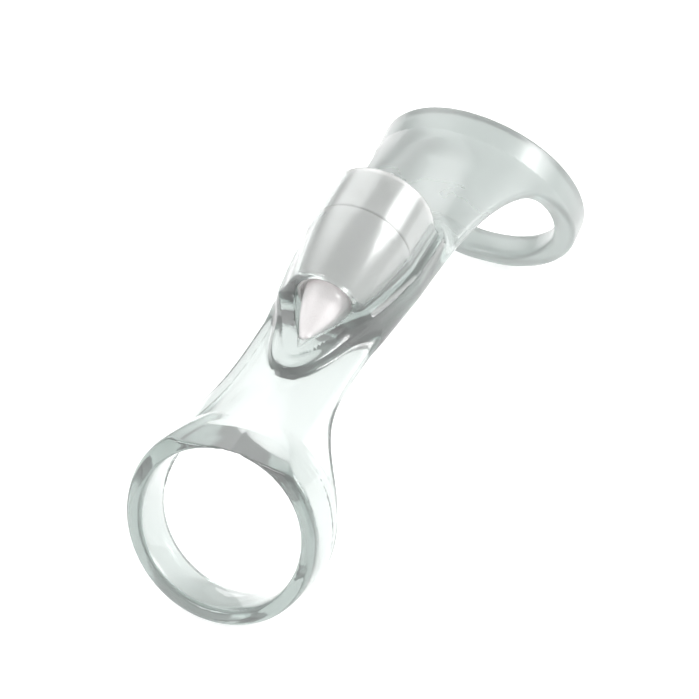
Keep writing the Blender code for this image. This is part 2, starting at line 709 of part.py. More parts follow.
def main():
    clear_scene()
    materials = make_materials()
    axis = place(bpy.data.objects.new("bullet_axis", None))
    axis.location = BULLET_REAR
    axis.rotation_euler = (0.0, -BULLET_SLOPE, 0.0)
    make_sleeve(axis, materials)
    make_barrel(axis, materials)
    make_cap(axis, materials)
    button_foot = make_button(axis, materials)
    make_switch(button_foot, axis, materials)
    make_board(axis, materials)
    contact_front = make_cells(axis, materials)
    make_conductors(contact_front, axis, materials)
    front_inside = make_motor_case(axis, materials)
    coil_front, core_rear = make_motor_core(front_inside, axis, materials)
    make_rotor(coil_front, core_rear, axis, materials)


main()
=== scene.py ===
"""The visual model of a clear two-ring sleeve and its pearly battery vibrator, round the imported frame.

The sleeve is one smooth moulding.  It is described by distance functions: each shape is a function of
x, y and z that is negative inside it, and shapes are joined with rounded blends, as a mould maker
would fillet them.  One mesh is then laid over the joined function.

The vibrator's barrel, cap and button are turned from profiles.  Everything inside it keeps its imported
mesh and only gets a finish.
"""
import json
import math

import bmesh
import bpy
import numpy as np
from mathutils import Matrix, Vector

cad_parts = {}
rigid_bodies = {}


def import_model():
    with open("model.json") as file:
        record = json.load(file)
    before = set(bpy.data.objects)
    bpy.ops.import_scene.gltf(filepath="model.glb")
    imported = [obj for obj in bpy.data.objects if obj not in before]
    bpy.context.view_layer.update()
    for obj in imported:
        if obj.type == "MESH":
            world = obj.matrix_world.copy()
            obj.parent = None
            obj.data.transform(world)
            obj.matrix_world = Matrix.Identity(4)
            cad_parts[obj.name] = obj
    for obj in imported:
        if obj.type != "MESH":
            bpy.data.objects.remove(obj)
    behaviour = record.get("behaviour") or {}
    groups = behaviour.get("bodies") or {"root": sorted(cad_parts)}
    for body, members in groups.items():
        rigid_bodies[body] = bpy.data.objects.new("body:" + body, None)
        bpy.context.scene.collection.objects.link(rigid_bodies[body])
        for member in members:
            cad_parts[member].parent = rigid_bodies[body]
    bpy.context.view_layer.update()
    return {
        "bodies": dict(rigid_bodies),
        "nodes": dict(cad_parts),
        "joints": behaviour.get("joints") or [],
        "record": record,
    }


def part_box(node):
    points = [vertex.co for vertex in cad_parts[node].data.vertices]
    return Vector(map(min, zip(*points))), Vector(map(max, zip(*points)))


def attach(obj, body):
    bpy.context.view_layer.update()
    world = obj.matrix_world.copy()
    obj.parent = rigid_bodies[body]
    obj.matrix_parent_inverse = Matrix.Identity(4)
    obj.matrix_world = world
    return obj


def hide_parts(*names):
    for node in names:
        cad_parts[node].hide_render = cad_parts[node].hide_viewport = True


MM = 0.001

# --- the sleeve -----------------------------------------------------------------------------
NEAR_RADIUS = 17.1 * MM          # small ring, outside
NEAR_WALL = 3.0 * MM
NEAR_WIDTH = 9.0 * MM
NEAR_LEAN = math.radians(17.0)
FAR_RADIUS = 21.0 * MM           # large ring, outside
FAR_WALL = 4.2 * MM
FAR_WIDTH = 5.2 * MM
FAR_LEAN = math.radians(-21.5)
FAR_FLARE = 1.2 * MM             # taper of the large ring's own band, under the spine's band
NEAR_ROOF = 1.1 * MM             # how much lower the small ring's bore is at its top
SCOOP_APEX = -36.0 * MM          # the spine is scooped out from here down to the small bore
SCOOP_TOP = 32.65 * MM           # height of the scooped surface at its apex
SCOOP_FALL = 0.30                # its slope there
SCOOP_LIFT = 0.1 / MM            # how fast it rises clear of the spine beyond its apex
SCOOP_SHELF = 31.1 * MM          # the height that it levels out at, over the ring
SCOOP_SHELF_BLEND = 1.5 * MM
SCOOP_RIDGE = 0.06               # slope to each side of the scoop's middle line
SCOOP_BLEND = 0.5 * MM
FOOT_FLAT = 0.9 * MM             # how deep the flats are that the rings stand on
RING_ROUND = 0.7 * MM            # rounding of the rings' outer edges
RING_FOOT_ROUND = 0.6 * MM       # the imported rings' own rounding, which sets where they stand
BORE_ROUND = 0.5 * MM            # rounding of the edges of the bores
BORE_CROWN = 0.4 * MM            # each bore is this much wider at its ends than in its middle
SPINE_WALL = 3.2 * MM
SPINE_ARCH = 1.4 * MM            # how far the spine's middle rises above the line between the rings
SPINE_HALF_ANGLE = math.radians(36.0)
SPINE_ROUND = 1.4 * MM           # rounding of the spine's long edges
ARM_SPREAD = math.radians(50.0)  # how much wider the spine gets at the small ring
ARM_REACH = 0.045                # share of its length over which that dies away
HOOD_SPREAD = math.radians(30.0)  # the same at the large ring, in a long and a short part
HOOD_REACH = 0.10
HEEL_SPREAD = math.radians(16.0)
HEEL_REACH = 0.015
SQUEEZE = 0.09                   # the large ring lies this much narrower on its +Y side
SQUEEZE_START = 18.0 * MM        # from none at this x to all of it at the next
SQUEEZE_FULL = 42.0 * MM
TONGUE_DEPTH = 0.4               # share of each ring's width that the spine's ends reach into
NEAR_FILLET = 4.0 * MM           # fillets where the spine's edges run out into the ring bands
FAR_FILLET = 5.0 * MM
RING_BLEND = 0.6 * MM            # fillet between the skins of the spine and the rings
KEEL_BLEND = 5.0 * MM            # fillet round the thicker floor under the vibrator
POCKET_BLEND = 7.0 * MM          # fillet between the pocket and the spine
TROUGH_BLEND = 4.0 * MM          # softness of the way out over the large ring
TROUGH_SOFTENS = 8.0 * MM        # length over which that softness comes in, and goes again
TROUGH_FADES = 30.0 * MM         # station by which it has gone
BOW_BLEND = 2.5 * MM             # fillet round the raised bow ahead of the pocket
MOUTH_BLEND = 0.5 * MM           # rounding of the pocket's lip and mouth
FOOT_BLEND = 0.4 * MM            # rounding of the edges of the rings' flats
HALVINGS = 20                    # steps in the search for a point's section of the spine

# --- the mesh that is laid over the distance functions ------------------------------------------
CELL = 0.4 * MM                  # spacing of the grid
MARGIN = 1.0 * MM                # room between the surface and the grid's own edges
SETTLE_ROUNDS = 3
FLATTEST = 0.05                  # the least squared slope that a point is moved by
SLOPE_REACH = 0.05 * CELL        # how far to each side a slope is measured

# --- the vibrator, in stations along its axis from its rear face ------------------------------
SHELL_RADIUS = 8.4 * MM
SEAM = -9.6 * MM                 # the rear cap's front edge
TAPER_START = -10.0 * MM
TAPER_CURVE = 1.5                # 1 would be a cone, and more is rounder
LIP = -24.3 * MM                 # the pocket's front lip
LIP_RADIUS = 5.7 * MM            # radius of the vibrator there
NOSE_BASE = -23.2 * MM           # foot of the nose, in a groove behind the barrel's front edge
NOSE_BASE_RADIUS = 4.6 * MM
FOOT_RADIUS = 5.1 * MM           # outside of that groove
NOSE_TIP = -34.3 * MM
NOSE_RADIUS = 1.3 * MM
NOSE_BULGE = 0.35 * MM           # how far the nose stands out from a cone
EDGE_ROUND = 0.30 * MM           # rounding of the edges at the seam and at the nose's foot
SEAM_GAP = 0.60 * MM
CAP_ROUND = 0.7 * MM             # rounding of the rear rim
RECESS_SLOPE = 0.5               # taper of the hollow that the nose lies in
POCKET_GAP = 0.25 * MM
POCKET_WALL = 0.9 * MM
POCKET_FRONT = -25.0 * MM
POCKET_MOUTH = -0.8 * MM         # the pocket leaves the vibrator's rear rim bare
HULL_TAPER = -12.0 * MM          # the pocket's outside narrows from here to the tip of the bow
HULL_SLANT = 0.95                # true distance to that slanting outside, as a share of the radial one
BOW_TIP = -41.5 * MM             # where the pocket's raised outline ends on the spine
BOW_HEIGHT = 0.3 * MM            # how far the deck inside that outline stands above the spine
BEAD_RADIUS = 0.75 * MM          # the bead along that outline, which is fainter on the +Y side
BEAD_FAINT = 0.35 * MM
BEAD_FADE = 3.0 * MM             # half the width that the change is spread over
BEAD_BLEND = 1.2 * MM
KEEL_DEPTH = 6.1 * MM            # the thicker floor's top, below the rear face's centre
KEEL_SLOPE = math.radians(3.6)
KEEL_END = 19.0 * MM

# --- how finely the turned pieces are cut ---------------------------------------------------------
TURN_STEPS = 128                 # round the axis, and the others are along a profile
TIP_STEPS = 9
NOSE_STEPS = 12
FOOT_STEPS = 4
BARREL_STEPS = 40
SEAM_STEPS = 5
RIM_STEPS = 7
DOME_STEPS = 10

# --- the vibrator's inner sizes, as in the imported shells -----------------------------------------
NECK_RADIUS = 6.85 * MM
NECK_REAR = -5.6 * MM
GROOVE_REAR = -7.0 * MM
GROOVE_FRONT = -8.2 * MM
GROOVE_RADIUS = 6.2 * MM
BORE_RADIUS = 5.55 * MM
BORE_END = -19.6 * MM
MOTOR_BAY_RADIUS = 3.4 * MM
MOTOR_BAY_END = -27.1 * MM
WEIGHT_BAY_RADIUS = 2.3 * MM
WEIGHT_BAY_END = -29.8 * MM
CAP_BORE = 7.2 * MM
CAP_LEDGE = -4.3 * MM
CAP_LEDGE_RADIUS = 6.0 * MM
CAP_END_WALL = 1.5 * MM
BUTTON_HOLE = 3.5 * MM
BUTTON_RADIUS = 3.2 * MM
BUTTON_SHOULDER = 0.45 * MM
BUTTON_PROUD = 1.1 * MM
FLANGE_RADIUS = 4.3 * MM
FLANGE_REAR = -1.8 * MM
FLANGE_FRONT = -2.4 * MM
ON_AXIS = 0.001 * MM             # a profile's point nearer than this to the axis is on it
SHARP_ANGLE = math.radians(40.0)

# --- the studio -------------------------------------------------------------------------------
CAMERA_AZIMUTH = math.radians(-65.42)
CAMERA_ELEVATION = math.radians(37.18)
CAMERA_ROLL = math.radians(0.53)
CAMERA_DISTANCE = 570.5 * MM
CAMERA_AIM = Vector((-3.24, 0.78, 18.56)) * MM
CAMERA_CLIP = 10.0 * MM
LENS = 168.5
SENSOR = 36.0
EXPOSURE = -0.15
LIGHT_BOUNCES = 24               # enough for the several clear walls that a ray passes through
CLEAR_BOUNCES = 20
FLOOR_HALF_SIZE = 1.5
FLOOR_COLOUR = (0.75, 0.75, 0.75)
FLOOR_ROUGHNESS = 0.9
FLOOR_GLOW = 0.60                # the floor is a light table: part of its brightness is its own
WHITE = (1.0, 1.0, 1.0, 1.0)
ROOM_LIGHT = 0.60
FEATHER_OUT = 1.5                # a softbox fades out between these shares of its half width
FEATHER_IN = 0.5
SOFTBOXES = [                    # direction, half width and strength
    ((0.47, -0.69, 0.54), math.radians(15.0), 6.5),
    ((0.32, -0.74, 0.60), math.radians(7.0), 9.0),
    ((0.45, 0.58, 0.68), math.radians(22.0), 2.2),
    ((-0.75, 0.35, 0.55), math.radians(9.0), 9.0),
    ((-0.42, 0.90, 0.06), math.radians(30.0), 0.35),
    ((-0.25, -0.95, 0.10), math.radians(30.0), 0.35),
]

# --- finishes -----------------------------------------------------------------------------------
TPE_COLOUR = (0.955, 0.968, 0.963)
TPE_HAZY_COLOUR = (0.71, 0.745, 0.732)
TPE_CLEAR_ROUGHNESS = 0.07
TPE_HAZY_ROUGHNESS = 0.28
TPE_TRANSMISSION = 0.85
TPE_HAZY_TRANSMISSION = 0.62
TPE_IOR = 1.45
TPE_COAT = 0.35
TPE_COAT_ROUGHNESS = 0.10
TPE_DEPTH_COLOUR = (0.45, 0.54, 0.51)  # what the light turns to on its way through
TPE_DENSITY = 190.0
TPE_PATCH_SIZE = 7.0 * MM        # soft patches that are slightly rougher
TPE_PATCH_RANGE = (0.5, 0.75)    # the noise values over which a patch fades in
TPE_PATCH_ROUGHNESS = 0.06
TPE_RIPPLE_SIZE = 2.5 * MM
TPE_RIPPLE_DETAIL = 0.0          # how much finer noise is laid over the first, here and below
TPE_RIPPLE_DEPTH = 0.008 * MM
HAZE_START = 0.0                 # the x that the elastomer starts to turn hazy at
HAZE_END = 34.0 * MM
PEARL_LIGHT = (0.93, 0.905, 0.905)
PEARL_DARK = (0.83, 0.80, 0.80)
PEARL_GLOSS = 0.34               # lowest and highest roughness, in clouds over the shell
PEARL_SATIN = 0.44
PEARL_METALLIC = 0.30
PEARL_COAT = 0.4
PEARL_COAT_ROUGHNESS = 0.12
CLOUD_SIZE = 5.0 * MM
FLAKE_SIZE = 0.12 * MM
FLAKE_DETAIL = 1.0
FLAKE_RANGE = (0.35, 0.65)
PEEL_SIZE = 0.3 * MM             # the lacquer's orange peel
PEEL_DETAIL = 3.0
PEEL_DEPTH = 0.004 * MM
NOISE_DETAIL = 2.0
NOISE_RANGE = (0.3, 0.7)         # most noise values lie between these
MOULDED_SHADE = 0.82             # the grain's darker shade
MOULDED_DETAIL = 4.0
MOULDED_GLOSS_SPREAD = 0.06      # how far the roughness strays to each side
MOULDED_LUMPS = 3.0              # size of the lumps that it strays in, counted in grains
MOULDED = {                      # colour, roughness, metallic, size of the grain, its depth
    "button_ivory": ((0.88, 0.84, 0.66), 0.38, 0.0, 0.35 * MM, 0.004 * MM),
    "black_rubber": ((0.030, 0.030, 0.032), 0.68, 0.0, 0.20 * MM, 0.010 * MM),
    "black_plastic": ((0.040, 0.040, 0.045), 0.48, 0.0, 0.15 * MM, 0.006 * MM),
    "white_plastic": ((0.80, 0.80, 0.77), 0.42, 0.0, 0.30 * MM, 0.004 * MM),
    "board_green": ((0.04, 0.24, 0.10), 0.38, 0.0, 0.60 * MM, 0.006 * MM),
    "steel": ((0.66, 0.66, 0.67), 0.26, 1.0, 0.12 * MM, 0.002 * MM),
    "brass": ((0.74, 0.56, 0.26), 0.28, 1.0, 0.15 * MM, 0.002 * MM),
    "copper": ((0.74, 0.36, 0.17), 0.34, 1.0, 0.08 * MM, 0.010 * MM),
    "magnet_grey": ((0.20, 0.20, 0.21), 0.44, 0.8, 0.10 * MM, 0.008 * MM),
    "tungsten": ((0.36, 0.36, 0.37), 0.46, 1.0, 0.10 * MM, 0.008 * MM),
    "red_insulation": ((0.58, 0.03, 0.02), 0.42, 0.0, 0.25 * MM, 0.004 * MM),
}
REPLACED = ("sleeve", "bullet_barrel", "rear_cap", "push_button")


# --- blends of numbers and of distance functions ----------------------------------------------
def mix(low, high, share):
    return low + (high - low) * share


def ease(share):
    return share * share * (3.0 - 2.0 * share)


def soft_min(first, second, blend):
    """The union of two distance functions, with a fillet about as wide as blend."""
    share = np.clip(0.5 + 0.5 * (second - first) / blend, 0.0, 1.0)
    return mix(second, first, share) - blend * share * (1.0 - share)


def soft_max(first, second, blend):
    """What two distance functions have in common, with the edge rounded."""
    return -soft_min(-first, -second, blend)


def rounded(first, second, rounding):
    """Like soft_max, with a true round of that radius on the edge."""
    outside = np.hypot(np.maximum(first + rounding, 0.0), np.maximum(second + rounding, 0.0))
    inside = np.minimum(np.maximum(first, second) + rounding, 0.0)
    return outside + inside - rounding


# --- the sleeve's shapes ----------------------------------------------------------------------
def ring_axis(lean):
    return Vector((math.cos(lean), 0.0, -math.sin(lean)))


def ring_up(lean):
    return Vector((math.sin(lean), 0.0, math.cos(lean)))


class Ring:
    """One ring of the sleeve: its centre is on its spine side, and it runs away from the spine."""

    def __init__(self, radius, wall, width, lean, end_x, direction, flare=0.0, roof=0.0):
        self.radius = radius
        self.wall = wall
        self.width = width
        self.flare = flare
        self.roof = roof
        self.outward = ring_axis(lean) * direction
        self.up = ring_up(lean)
        reach = (radius - RING_FOOT_ROUND) * abs(math.sin(lean)) + width * math.cos(lean)
        height = radius * math.cos(lean) - FOOT_FLAT
        self.centre = Vector((end_x - direction * reach, 0.0, height))
        self.top = self.centre + self.up * radius

    def along(self, x, z):
        """Distance along the ring's axis from its spine side."""
        return (x - self.centre.x) * self.outward.x + (z - self.centre.z) * self.outward.z

    def beyond(self, x, z):
        """How far a point is from the slice of space that the ring's band fills."""
        half = self.width / 2.0
        return np.abs(self.along(x, z) - half) - half

    def radial(self, x, y, z):
        """Distance from the ring's own axis, and the cosine of the angle from its top."""
        height = (x - self.centre.x) * self.up.x + (z - self.centre.z) * self.up.z
        across = np.hypot(height, y)
        return across, height / across

    def bore_radius(self, x, z, rise):
        """The bore is crowned along its length, and narrower where the wall thickens at its top."""
        half = self.width / 2.0
        crown = BORE_CROWN * np.clip((self.along(x, z) / half - 1.0) ** 2, 0.0, 1.0)
        return self.radius - self.wall - self.roof * np.clip(rise, 0.0, 1.0) ** 2 + crown

    def distance(self, x, y, z):
        across, rise = self.radial(x, y, z)
        beyond = self.beyond(x, z)
        narrowed = self.flare * np.clip(1.0 - self.along(x, z) / self.width, 0.0, 1.0)
        outer = rounded(beyond, across - self.radius + narrowed, RING_ROUND)
        inner = rounded(beyond, self.bore_radius(x, z, rise) - across, BORE_ROUND)
        return np.maximum(outer, inner)

    def bore(self, x, y, z):
        """The ring's hole, to be kept clear of the fillets that reach into it."""
        across, rise = self.radial(x, y, z)
        return np.maximum(across - self.bore_radius(x, z, rise), -self.along(x, z))


def squeezed_out(x, y):
    """The y that a point would have if the large ring weren't drawn in on its +Y side."""
    drawn_in = ease(np.clip((x - SQUEEZE_START) / (SQUEEZE_FULL - SQUEEZE_START), 0.0, 1.0))
    return y * (1.0 + SQUEEZE * drawn_in * (y > 0.0))


def pocket_tube(station, hull):
    """The pocket's own tube round the vibrator."""
    ends = np.maximum(POCKET_FRONT - station, station - POCKET_MOUTH)
    return rounded(hull, ends, MOUTH_BLEND)


def raised_bow(station, hull, skin):
    """The deck inside the pocket's outline, which runs on ahead of the nose to a tip."""
    half_deck = (SPINE_WALL + BOW_HEIGHT) / 2.0
    deck = np.abs(skin + half_deck - BOW_HEIGHT) - half_deck
    return np.maximum(soft_max(hull, deck, BOW_HEIGHT), station - POCKET_MOUTH)


def bow_bead(station, hull, skin, y):
    """A thin bead along the outline of that deck, ahead of the lip."""
    fainter = np.clip((y + BEAD_FADE) / (2.0 * BEAD_FADE), 0.0, 1.0)
    bead = np.hypot(hull, skin - BOW_HEIGHT) - mix(BEAD_RADIUS, BEAD_FAINT, fainter)
    return np.maximum(bead, station - LIP)


def soften_trough(body, station, skin, cavity):
    """Softens the upper edges of the way out over the large ring, but not its thin floor."""
    behind = ease(np.clip(station / TROUGH_SOFTENS, 0.0, 1.0))
    before_ring = ease(np.clip((TROUGH_FADES - station) / TROUGH_SOFTENS, 0.0, 1.0))
    blend = mix(MOUTH_BLEND, TROUGH_BLEND, before_ring)
    softened = np.maximum(body, soft_max(skin, -cavity, blend))
    return mix(body, softened, behind)


def scooped_height(x, y):
    """Height of the scooped surface where the spine forks over the top of the small ring."""
    above = x - SCOOP_APEX
    falling = SCOOP_TOP + SCOOP_FALL * above + SCOOP_LIFT * np.maximum(above, 0.0) ** 2
    return soft_max(falling, SCOOP_SHELF, SCOOP_SHELF_BLEND) - SCOOP_RIDGE * np.abs(y)


class Sleeve:
    """Distance functions of the sleeve's parts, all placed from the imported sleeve's own box."""

    def __init__(self, bullet):
        low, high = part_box("sleeve")
        self.bullet = bullet
        self.near = Ring(NEAR_RADIUS, NEAR_WALL, NEAR_WIDTH, NEAR_LEAN, low.x, -1.0, roof=NEAR_ROOF)
        self.far = Ring(FAR_RADIUS, FAR_WALL, FAR_WIDTH, FAR_LEAN, high.x, 1.0, flare=FAR_FLARE)
        self.chord = self.far.top - self.near.top
        self.normal = Vector((-self.chord.z, 0.0, self.chord.x)).normalized()

    def section(self, share):
        """Crown point, lean and outer radius of the spine's section at a share of its length."""
        rise = 4.0 * SPINE_ARCH * share * (1.0 - share)
        crown_x = self.near.top.x + self.chord.x * share + self.normal.x * rise
        crown_z = self.near.top.z + self.chord.z * share + self.normal.z * rise
        lean = mix(NEAR_LEAN, FAR_LEAN, ease(share))
        radius = mix(NEAR_RADIUS, FAR_RADIUS, ease(share))
        return crown_x, crown_z, lean, radius

    def share(self, x, z):
        """The section that a point lies in, as a share of the spine's length, found by halving."""
        low = np.zeros(np.broadcast(x, z).shape)
        high = np.ones_like(low)
        for _ in range(HALVINGS):
            middle = (low + high) / 2.0
            crown_x, crown_z, lean, _ = self.section(middle)
            ahead = (x - crown_x) * np.cos(lean) - (z - crown_z) * np.sin(lean) > 0.0
            low = np.where(ahead, middle, low)
            high = np.where(ahead, high, middle)
        return (low + high) / 2.0

    def half_angle(self, share):
        """Half the angle that the spine wraps round there, and how fast that shrinks lengthways."""
        arms = ARM_SPREAD * np.exp(-share / ARM_REACH)
        hood = HOOD_SPREAD * np.exp(-(1.0 - share) / HOOD_REACH)
        heel = HEEL_SPREAD * np.exp(-(1.0 - share) / HEEL_REACH)
        slope = arms / ARM_REACH - hood / HOOD_REACH - heel / HEEL_REACH
        return SPINE_HALF_ANGLE + arms + hood + heel, slope / self.chord.length

    def shell(self, x, y, z):
        """The spine with the ring bands that carry on from it, and the distance to its outer skin."""
        share = self.share(x, z)
        crown_x, crown_z, lean, radius = self.section(share)
        height = (x - crown_x) * np.sin(lean) + (z - crown_z) * np.cos(lean) + radius
        along = (x - crown_x) * np.cos(lean) - (z - crown_z) * np.sin(lean)
        skin = np.hypot(height, y) - radius
        angle = np.arctan2(np.abs(y), height)
        half_angle, slope = self.half_angle(share)
        ring_wall = np.where(share < 0.5, NEAR_WALL, FAR_WALL)
        wall = mix(SPINE_WALL, ring_wall, ease(np.abs(2.0 * share - 1.0)))
        sideways = (angle - half_angle) * radius / np.sqrt(1.0 + (radius * slope) ** 2)
        reach = np.where(share < 0.5, NEAR_WIDTH, FAR_WIDTH) * TONGUE_DEPTH
        extent = np.maximum(sideways, np.abs(along) - reach)
        extent = soft_min(extent, self.near.beyond(x, z), NEAR_FILLET)
        extent = soft_min(extent, self.far.beyond(x, z), FAR_FILLET)
        within_wall = np.abs(skin + wall / 2.0) - wall / 2.0
        return rounded(within_wall, extent, SPINE_ROUND), skin

    def distance(self, x, y, z):
        """The whole moulding: what is added comes first, and then what is cut away."""
        station, out = self.bullet.polar(x, y, z)
        wide_y = squeezed_out(x, y)
        body, skin = self.shell(x, wide_y, z)
        body = soft_min(body, self.near.distance(x, y, z), RING_BLEND)
        body = soft_min(body, self.far.distance(x, wide_y, z), RING_BLEND)
        hull = (out - self.bullet.hull_radius(station)) * HULL_SLANT
        cavity = out - self.bullet.cavity_radius(station)
        keel = np.maximum(cavity - POCKET_WALL, self.bullet.above_keel(x, z))
        body = soft_min(body, pocket_tube(station, hull), POCKET_BLEND)
        body = soft_min(body, raised_bow(station, hull, skin), BOW_BLEND)
        body = soft_min(body, np.maximum(keel, station - KEEL_END), KEEL_BLEND)
        body = soft_min(body, bow_bead(station, hull, skin, y), BEAD_BLEND)
        body = soft_max(body, -cavity, MOUTH_BLEND)
        body = soften_trough(body, station, skin, cavity)
        body = soft_max(body, -self.near.bore(x, y, z), MOUTH_BLEND)
        body = soft_max(body, z - scooped_height(x, y), SCOOP_BLEND)
        return soft_max(body, -z, FOOT_BLEND)


class Bullet:
    """The vibrator's axis, found from the motor's joint and the rear cap's outermost points."""

    def __init__(self, frame):
        joint = next(item for item in frame["joints"] if item["name"] == "motor_spin")
        self.axis = Vector(joint["axis"])
        motor = Vector(joint["pos_m"])
        cap = frame["nodes"]["rear_cap"].data.vertices
        reach = max((vertex.co - motor).dot(self.axis) for vertex in cap)
        self.rear = motor + self.axis * reach

    def polar(self, x, y, z):
        """Station along the axis and distance from it."""
        station = (x - self.rear.x) * self.axis.x + (z - self.rear.z) * self.axis.z
        side = (z - self.rear.z) * self.axis.x - (x - self.rear.x) * self.axis.z
        return station, np.hypot(side, y)

    def barrel_radius(self, station):
        """Outside of the vibrator: straight from the rear, then tapering to the lip."""
        share = np.clip((TAPER_START - station) / (TAPER_START - LIP), 0.0, 1.0)
        return mix(SHELL_RADIUS, LIP_RADIUS, share ** TAPER_CURVE)

    def cavity_radius(self, station):
        """The hollow for the vibrator.  Ahead of the lip it narrows to a point, as a cone."""
        ahead = np.maximum(LIP - station, 0.0)
        return self.barrel_radius(station) + POCKET_GAP - RECESS_SLOPE * ahead

    def hull_radius(self, station):
        """The pocket's outside, which narrows to a round bow on the spine ahead of the nose."""
        share = np.clip((HULL_TAPER - station) / (HULL_TAPER - BOW_TIP), 0.0, 1.0)
        past = np.maximum(BOW_TIP - station, 0.0)
        return (SHELL_RADIUS + POCKET_GAP + POCKET_WALL) * np.sqrt(1.0 - share) - past

    def above_keel(self, x, z):
        """Height above the sloping plane that the keel ends at, under the vibrator."""
        rise = z - self.rear.z + KEEL_DEPTH
        return rise * math.cos(KEEL_SLOPE) - (x - self.rear.x) * math.sin(KEEL_SLOPE)

    def matrix(self):
        """Places a body turned about local X on the axis."""
        side = Vector((0.0, 1.0, 0.0))
        up = self.axis.cross(side)
        turn = Matrix((self.axis, side, up)).transposed()
        return Matrix.Translation(self.rear) @ turn.to_4x4()


# --- meshing a distance function ----------------------------------------------------------------
CORNERS = [(i, j, k) for i in (0, 1) for j in (0, 1) for k in (0, 1)]
EDGES = [
    (start, end) for start in CORNERS for end in CORNERS
    if sum(end) - sum(start) == 1 and all(low <= high for low, high in zip(start, end))
]


def net(distance, low, high):
    """Vertices and four-sided faces over the surface where distance is zero, inside a box."""
    counts = [int(math.ceil((top - bottom) / CELL)) + 1 for bottom, top in zip(low, high)]
    axes = [bottom + CELL * np.arange(count) for bottom, count in zip(low, counts)]
    x = axes[0][:, None, None].astype(np.float32)
    y = axes[1][None, :, None].astype(np.float32)
    z = axes[2][None, None, :].astype(np.float32)
    field = np.asarray(distance(x, y, z), np.float32)
    inside = field < 0.0
    shape = [count - 1 for count in counts]
    filled = sum(
        inside[i:i + shape[0], j:j + shape[1], k:k + shape[2]].astype(np.uint8)
        for i, j, k in CORNERS
    )
    cells = np.argwhere((filled > 0) & (filled < len(CORNERS)))
    number = np.full(shape, -1, np.int64)
    number[tuple(cells.T)] = np.arange(len(cells))
    return place_vertices(field, cells, axes), link_faces(inside, number)


def place_vertices(field, cells, axes):
    """One vertex in each mixed cell, at the mean of where its edges cross the surface."""
    total = np.zeros((len(cells), 3))
    hits = np.zeros((len(cells), 1))
    for start, end in EDGES:
        first = field[tuple((cells + start).T)]
        second = field[tuple((cells + end).T)]
        crosses = (first < 0.0) != (second < 0.0)
        share = np.where(crosses, first / np.where(crosses, first - second, 1.0), 0.0)[:, None]
        point = cells + np.array(start) + share * (np.array(end) - np.array(start))
        total += np.where(crosses[:, None], point, 0.0)
        hits += crosses[:, None]
    corner = np.array([axis[0] for axis in axes])
    return corner + CELL * total / hits


def link_faces(inside, number):
    """A face round every grid edge that crosses the surface, turned so that it faces out."""
    faces = []
    for axis in range(3):
        step = [0, 0, 0]
        step[axis] = 1
        stop = [size - ahead for size, ahead in zip(inside.shape, step)]
        first = inside[:stop[0], :stop[1], :stop[2]]
        second = inside[step[0]:, step[1]:, step[2]:]
        edges = np.argwhere(first != second)
        leaving = first[tuple(edges.T)]
        u, v = (axis + 1) % 3, (axis + 2) % 3
        corners = []
        for back_u, back_v in ((1, 1), (0, 1), (0, 0), (1, 0)):
            shift = [0, 0, 0]
            shift[u], shift[v] = back_u, back_v
            corners.append(number[tuple((edges - shift).T)])
        quads = np.stack(corners, 1)
        quads[~leaving] = quads[~leaving][:, ::-1]
        faces.append(quads)
    return np.concatenate(faces)


def settle(distance, points):
    """Moves points onto the surface along the distance function's slope, and gives their normals."""
    points = points.copy()
    for _ in range(SETTLE_ROUNDS):
        value = distance(*points.T)
        slope = gradient(distance, points)
        steep = np.maximum((slope ** 2).sum(1), FLATTEST)
        points -= np.clip(value / steep, -CELL, CELL)[:, None] * slope
    slope = gradient(distance, points)
    return points, slope / np.linalg.norm(slope, axis=1, keepdims=True)


def gradient(distance, points):
    """The slope of the distance function at each point, along x, y and z."""
    slopes = []
    for axis in range(3):
        shift = np.zeros(3)
        shift[axis] = SLOPE_REACH
        ahead = distance(*(points + shift).T)
        behind = distance(*(points - shift).T)
        slopes.append((ahead - behind) / (2.0 * SLOPE_REACH))
    return np.stack(slopes, 1)


def place(name, mesh):
    """Puts a mesh into the scene as an object."""
    item = bpy.data.objects.new(name, mesh)
    bpy.context.scene.collection.objects.link(item)
    return item


def make_sleeve(bullet):
    sleeve = Sleeve(bullet)
    low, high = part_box("sleeve")
    margin = Vector((1.0, 1.0, 1.0)) * MARGIN
    points, faces = net(sleeve.distance, low - margin, high + margin)
    points, normals = settle(sleeve.distance, points)
    mesh = bpy.data.meshes.new("clear_sleeve")
    mesh.from_pydata(points.tolist(), [], faces.tolist())
    mesh.validate()
    mesh.shade_smooth()
    mesh.normals_split_custom_set_from_vertices(normals.tolist())
    return place("clear_sleeve", mesh)


# --- turned pieces ------------------------------------------------------------------------------
def turned(name, profile, bullet):
    """A closed body turned about the vibrator's axis from (station, radius) points.

    The profile runs with the body on its right.  A point on the axis is one vertex, and the faces that
    meet there are triangles.
    """
    points = []
    rows = []
    for station, radius in profile:
        count = TURN_STEPS if radius > ON_AXIS else 1
        rows.append(range(len(points), len(points) + count))
        for step in range(count):
            angle = 2.0 * math.pi * step / TURN_STEPS
            points.append((station, radius * math.sin(angle), radius * math.cos(angle)))
    pairs = list(zip(rows, rows[1:]))
    if profile[0][1] > ON_AXIS:
        pairs.append((rows[-1], rows[0]))
    faces = []
    for row, ahead in pairs:
        for step in range(TURN_STEPS):
            turn = (step + 1) % TURN_STEPS
            first, second = step % len(ahead), turn % len(ahead)
            third, fourth = turn % len(row), step % len(row)
            corners = (ahead[first], ahead[second], row[third], row[fourth])
            faces.append(list(dict.fromkeys(corners)))
    mesh = bpy.data.meshes.new(name)
    mesh.from_pydata(points, [], faces)
    mesh.transform(bullet.matrix())
    mesh.shade_smooth()
    mesh.set_sharp_from_angle(angle=SHARP_ANGLE)
    return place(name, mesh)


